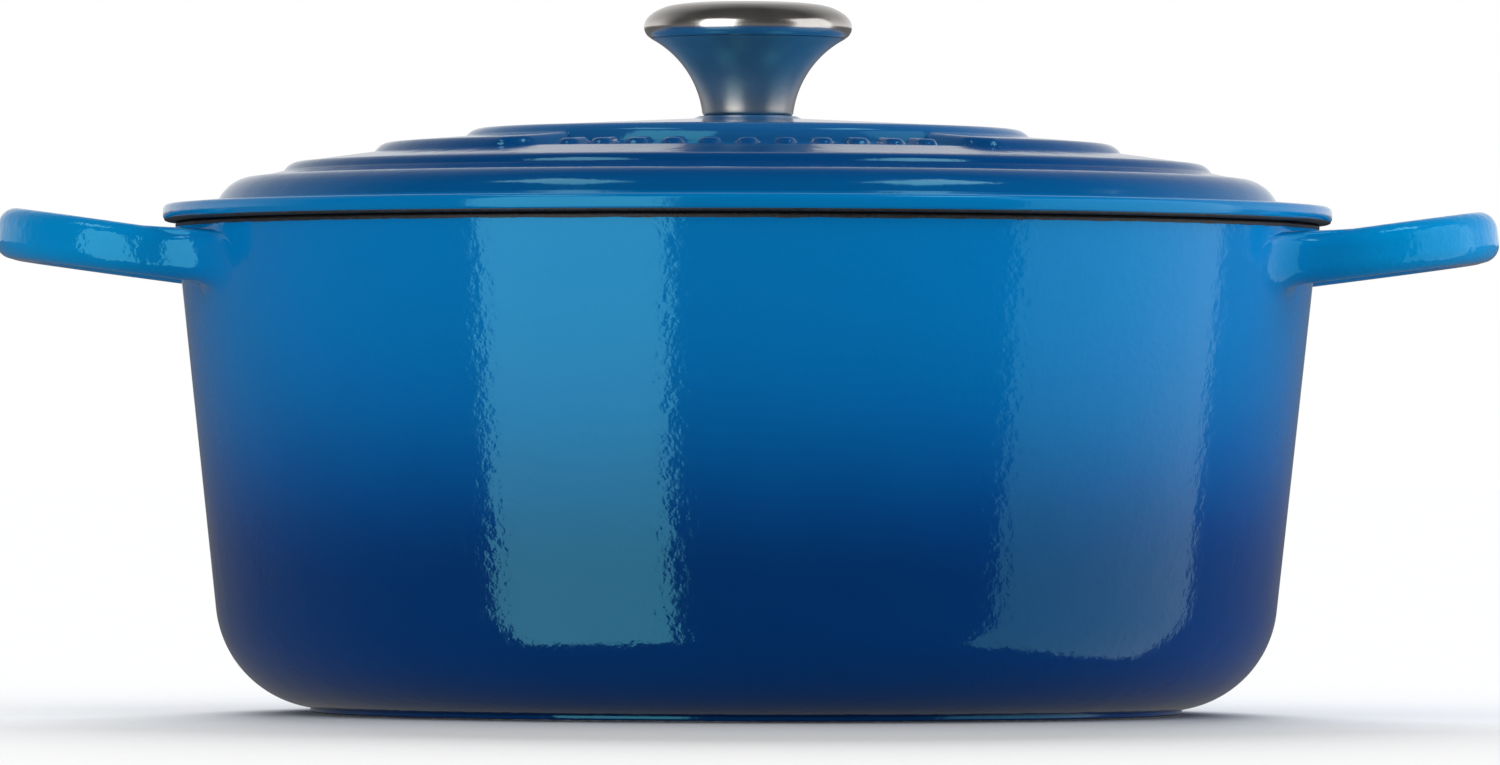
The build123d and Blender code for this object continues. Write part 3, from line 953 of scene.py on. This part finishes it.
cap_line = [
    (22.7, 159.8), (23.25, 159.85), (24.15, 160.75), (24.62, 162.1), (24.35, 163.6), (23.2, 165.1),
    (21.2, 166.4), (18.4, 167.4), (14.0, 168.0), (9.0, KNOB_TOP - 0.06), (4.0, KNOB_TOP), (0.0, KNOB_TOP),
]
cap = turn_profile("knob_domed_cap", smooth_line(cap_line, 5), KNOB_SEGMENTS)
settle(cap, "lid", knob_steel, "knob_steel", "knob_cap")

# %% [markdown]
# ## Finish the CAD nodes
#
# A node whose shape is already right keeps its mesh and only gets its material.

# %% Put the materials on the nodes
finishes = {
    "pot_casting": iron,
    "pot_base_enamel": pot_blue,
    "pot_interior_enamel": sand,
    "lid_casting": iron,
    "lid_interior_enamel": sand,
    "knob_bush": screw_steel,
    "knob_washer": screw_steel,
    "knob_screw": screw_steel,
}
for node_name, material in finishes.items():
    for material_slot in nodes[node_name].material_slots:
        material_slot.material = material
print("finished", len(finishes), "nodes")

# %% [markdown]
# ## The floor
#
# The oven stands on a plain white sheet of paper. It is a flat mesh that reaches far past everything, so
# that under a white sky no horizon shows. Its paper is matt, and it is hidden from mirror-like rays, because
# the reflection of a bright floor would hide the oven's own colours.

# %% Lay the floor
def wide_floor():
    """A flat pale floor in large quads."""
    shape = bmesh.new()
    lines = [-9.0, -3.0, -1.0, -0.4, 0.0, 0.4, 1.0, 3.0, 12.0, 60.0]
    rows = [[shape.verts.new((x, y, 0.0)) for x in (-40.0, -3.0, -0.5, 0.5, 3.0, 40.0)] for y in lines]
    for near, far in zip(rows, rows[1:]):
        for column in range(len(near) - 1):
            shape.faces.new((near[column], near[column + 1], far[column + 1], far[column]))
    return piece_from("studio_floor", shape)


floor = wide_floor()
paper, tree, shader = finish_named("white_paper", Roughness=0.9, Specular_IOR_Level=0.0)
colour_from(tree, shader, speckle(tree, 300.0, 4.0), [(0.3, (0.86, 0.865, 0.87)), (0.7, (0.89, 0.89, 0.89))])
floor.data.materials.append(paper)
floor.visible_glossy = False
print("staged", floor.name)

# %% [markdown]
# ## Soft boxes
#
# Two tall soft boxes stand at the oven's left and right, and their reflections draw its round wall. A fill
# on the right has no reflection of its own, and two dim overhead lights catch the edges of the lid's discs.
# Light linking keeps all of them off the floor, so that it keeps the shadow from the back light, and keeps
# the overhead ones off the knob, where they would add small hard spots.

# %% Set up the soft boxes
def soft_box(name, place, aim, width, tall, power):
    """A rectangular area light at a place, turned towards a point."""
    light = bpy.data.lights.new(name, "AREA")
    light.shape = "RECTANGLE"
    light.size = width
    light.size_y = tall
    light.energy = power
    lamp = bpy.data.objects.new(name, light)
    lamp.location = place
    lamp.rotation_euler = (Vector(aim) - Vector(place)).to_track_quat("-Z", "Y").to_euler()
    lamp.visible_camera = False
    bpy.context.scene.collection.objects.link(lamp)
    return lamp


def lit_objects(name, *left_out):
    """A collection of every piece except some, for a light to shine on."""
    group = bpy.data.collections.new(name)
    for piece in bpy.context.scene.objects:
        if piece.type == "MESH" and piece not in left_out:
            group.objects.link(piece)
    return group


whole_oven = lit_objects("whole_oven", floor)
without_knob = lit_objects("oven_without_knob", floor, flare, cap)
BESIDE, OVERHEAD = (0.0, 0.0, 0.18), (0.0, 0.0, 0.1)
left_box = soft_box("soft_box_left", (-0.70, -1.036, 0.18), BESIDE, 0.86, 2.25, 19.0)
right_box = soft_box("soft_box_right", (1.231, -0.217, 0.18), BESIDE, 1.25, 2.25, 10.0)
fill = soft_box("soft_fill_right", (1.249, -0.044, 0.18), BESIDE, 1.25, 2.25, 36.0)
fill.visible_glossy = False
for lamp in (left_box, right_box, fill):
    lamp.light_linking.receiver_collection = whole_oven
for name, x, power in (("overhead_left", -0.62, 1.7), ("overhead_right", 0.62, 2.0)):
    lamp = soft_box(name, (x, -0.18, 1.5), OVERHEAD, 0.50, 0.30, power)
    lamp.light_linking.receiver_collection = without_knob

# %% [markdown]
# ## The back light
#
# A broad light behind the oven throws a short soft shadow towards the camera and whitens the paper. A sun
# lamp does that evenly over the whole floor, and its wide angle blurs the shadow's edge.

# %% Set up the back light
BACK_HEIGHT, BACK_SPREAD = math.radians(25.0), math.radians(34.0)
back_light = bpy.data.objects.new("back_light", bpy.data.lights.new("back_light", "SUN"))
back_light.data.energy = 3.7
back_light.data.angle = BACK_SPREAD
back_way = Vector((0.0, -math.cos(BACK_HEIGHT), -math.sin(BACK_HEIGHT)))
back_light.rotation_euler = back_way.to_track_quat("-Z", "Y").to_euler()
back_light.visible_glossy = False
bpy.context.scene.collection.objects.link(back_light)
print("back light at", round(math.degrees(BACK_HEIGHT)), "degrees")

# %% [markdown]
# ## The air
#
# The camera sees pure white behind the oven. In a real studio the walls behind the camera are dark, so that
# they don't wash out a glossy pot, and Light Path lets the sky do the same: mirror-like rays find it dark in
# front and grey behind, and other rays get an even, dimmer white.

# %% Make the air
DIFFUSE_SKY, BEHIND_SKY, FRONT_SKY, LOW_SKY = 0.64, 0.95, 0.055, 0.10

world = bpy.data.worlds.new("studio_air")
world.use_nodes = True
bpy.context.scene.world = world
air = world.node_tree
path = add(air, "ShaderNodeLightPath")
direction = add(air, "ShaderNodeSeparateXYZ", Vector=add(air, "ShaderNodeTexCoord").outputs["Generated"])
behind = math_node(air, "MULTIPLY", direction.outputs["Y"], 2.0, clamp=True)
above = math_node(air, "MULTIPLY", direction.outputs["Z"], 40.0, clamp=True)
not_high = math_node(air, "MULTIPLY_ADD", direction.outputs["Z"], -1.1, 1.0, clamp=True)
wall = math_node(air, "MULTIPLY", math_node(air, "MULTIPLY", behind, above), not_high)
behind_grey = math_node(air, "MULTIPLY", wall, BEHIND_SKY)
below = math_node(air, "MULTIPLY_ADD", direction.outputs["Z"], -4.0, 1.0, clamp=True)
front_grey = math_node(air, "MULTIPLY_ADD", below, LOW_SKY, FRONT_SKY)
grey = math_node(air, "MAXIMUM", behind_grey, front_grey)
not_mirrored = math_node(air, "SUBTRACT", 1.0, path.outputs["Is Glossy Ray"])
even = math_node(air, "MULTIPLY", not_mirrored, DIFFUSE_SKY)
mirrored = math_node(air, "MULTIPLY_ADD", path.outputs["Is Glossy Ray"], grey, even)
seen = math_node(air, "MAXIMUM", mirrored, path.outputs["Is Camera Ray"])
background = air.nodes["Background"]
air.links.new(seen, background.inputs["Strength"])
background.inputs["Color"].default_value = (1.0, 1.0, 1.0, 1.0)
print("made", world.name)

# %% [markdown]
# ## The camera
#
# A long lens stands nearly level with the oven's lower half, so the walls stay upright and the discs of the
# lid are seen almost from the side. The plain Standard view keeps the blues as saturated as they are made.

# %% Place the camera
EYE, LOOKED_AT, TILT = Vector((0.0007, -2.8, 0.057)), Vector((0.0007, 0.0, 0.0783)), math.radians(0.16)
camera = bpy.data.objects.new("camera", bpy.data.cameras.new("camera"))
camera.data.lens = 284.0
camera.data.sensor_width = 36.0
camera.data.clip_end = 50.0
camera.location = EYE
camera.rotation_euler = (LOOKED_AT - EYE).to_track_quat("-Z", "Y").to_euler()
camera.rotation_euler.rotate_axis("Z", TILT)
bpy.context.scene.collection.objects.link(camera)
bpy.context.scene.camera = camera
bpy.context.scene.view_settings.view_transform = "Standard"
print("camera at", tuple(EYE))
